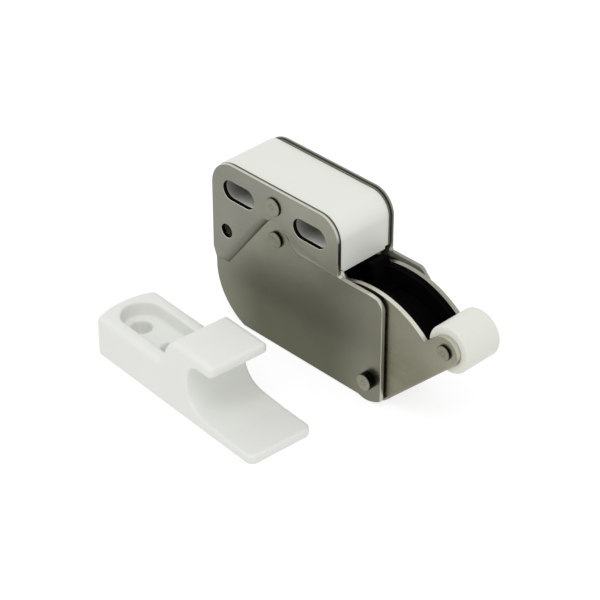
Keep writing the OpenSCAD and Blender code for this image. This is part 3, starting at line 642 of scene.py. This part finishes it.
# Cam follower: 1 mm spring wire with an eye round the sleeve, a straight leg and a bent tip.
# It hangs loose against the block's finger, and its tip runs in the cam's track.
follower_r = 0.5
cam_thick = 3.6
cam_face = arm_in - cam_thick
cam_gap = 0.2
track_depth = 1.8
tip_gap = 0.4
lane_r = 16.2
tip_deg = 168
bend = 0.6
bend_steps = 6
eye_sweep = 345
eye_steps = 60
eye_r = sleeve_r + run_fit + follower_r
tip = pin_at + polar(lane_r, tip_deg)
along_leg = (tip - cross_rivet_at).normalized()
straight = (tip - cross_rivet_at).length - eye_r - bend
eye_deg = math.degrees(math.atan2(along_leg.y, along_leg.x))
follower_y = cam_face - follower_r - cam_gap
path = []
for i in range(eye_steps + 1):
    at = cross_rivet_at + polar(eye_r, eye_deg - eye_sweep + eye_sweep * i / eye_steps)
    path.append((at.x, follower_y, at.y))
for share in (0.35, 0.7, 1.0):
    at = cross_rivet_at + along_leg * (eye_r + share * straight)
    path.append((at.x, follower_y, at.y))
for i in range(1, bend_steps + 1):
    turn = math.radians(90 * i / bend_steps)
    at = tip - along_leg * (bend - bend * math.sin(turn))
    path.append((at.x, follower_y + bend - bend * math.cos(turn), at.y))
path.append((tip.x, cam_face + track_depth - tip_gap, tip.y))
follower = wire_piece("follower_wire", path, follower_r)
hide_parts("cam_follower")
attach(follower, "follower")


# Keeper: the other half of the latch, one white nylon hook for the door with two screw holes in a recess.
# It comes out of the mould with soft edges and draft, and lies loose beside the latch, turned a little.
# Its skin is remeshed square to the keeper, so that the straight edges stay straight.
keeper_nylon = moulded_nylon("white_nylon_keeper", "#F0F1ED", "#EBEDE8")
hook = dress("keeper", "door_hook", 0.3, [keeper_nylon])
hook.modifiers.clear()
keeper_yaw = math.radians(3.75)
squared = Matrix.Rotation(keeper_yaw, 4, "Z")
hook.data.transform(squared)
skin = hook.modifiers.new("moulded_skin", "REMESH")
skin.mode = "VOXEL"
skin.voxel_size = 0.2 * MM
skin.use_smooth_shade = True
ease = hook.modifiers.new("eased_edges", "SMOOTH")
ease.factor = 0.5
ease.iterations = 10
soft = bpy.data.meshes.new_from_object(hook.evaluated_get(bpy.context.evaluated_depsgraph_get()))
soft.name = "door_hook_softened"
hook.modifiers.clear()
soft.transform(squared.inverted())
hook.data = soft


# Table: a wide white card under latch and keeper. The camera and shiny surfaces see it almost white,
# and it still takes soft shadows.

def seen_level(tree, unseen, seen):
    """Strength of a glow: seen by the camera, mirrors and glass, unseen for the light on matt surfaces."""
    ray = add(tree, "ShaderNodeLightPath").outputs
    mirrored = calculate(tree, "MAXIMUM", ray["Is Camera Ray"], ray["Is Glossy Ray"])
    shown = calculate(tree, "MAXIMUM", mirrored, ray["Is Transmission Ray"])
    return ramp(tree, shown, 0.0, 1.0, low=unseen, high=seen)


floor_z = -25.8 * MM
half = 0.6
card = bpy.data.meshes.new("white_card")
corners = [(-half, -half, floor_z), (half, -half, floor_z), (half, half, floor_z), (-half, half, floor_z)]
card.from_pydata(corners, [], [(0, 1, 2, 3)])
table = bpy.data.objects.new("white_card", card)
bpy.context.scene.collection.objects.link(table)
card_white = bpy.data.materials.new("white_card_lit_from_behind")
card_white.use_nodes = True
tree = card_white.node_tree
glow = add(tree, "ShaderNodeEmission", {"Color": linear("#FFFFFF"), "Strength": seen_level(tree, 0.55, 0.8)})
matt = add(tree, "ShaderNodeBsdfDiffuse", {"Color": linear("#959595")})
both = add(tree, "ShaderNodeAddShader", {0: glow.outputs[0], 1: matt.outputs[0]})
fill(tree, tree.nodes["Material Output"], {"Surface": both.outputs[0]})
card.materials.append(card_white)

# Studio: an even white room and one soft lamp high above the front.
world = bpy.data.worlds.new("white_room")
bpy.context.scene.world = world
world.use_nodes = True
tree = world.node_tree
fill(tree, tree.nodes["Background"], {"Color": linear("#FFFFFF"), "Strength": seen_level(tree, 0.8, 1.0)})
lamp = bpy.data.lights.new("soft_box", "AREA")
lamp.shape = "DISK"
lamp.size = 0.24
lamp.energy = 0.35
soft_box = bpy.data.objects.new("soft_box", lamp)
soft_box.location = (0.12, -0.16, 0.40)
aim = Vector((0.008, -0.008, -0.012)) - soft_box.location
soft_box.rotation_euler = aim.to_track_quat("-Z", "Y").to_euler()
bpy.context.scene.collection.objects.link(soft_box)

# Camera: a long lens at the photograph's angle, above the front right corner.
lens = bpy.data.cameras.new("long_lens")
lens.lens = 138.64
lens.sensor_width = 36.0
camera = bpy.data.objects.new("long_lens", lens)
camera.location = (0.222187, -0.217304, 0.194009)
camera.rotation_euler = Vector((-0.58999, 0.57595, -0.56585)).to_track_quat("-Z", "Y").to_euler()
bpy.context.scene.collection.objects.link(camera)
bpy.context.scene.camera = camera
bpy.context.scene.view_settings.view_transform = "Standard"
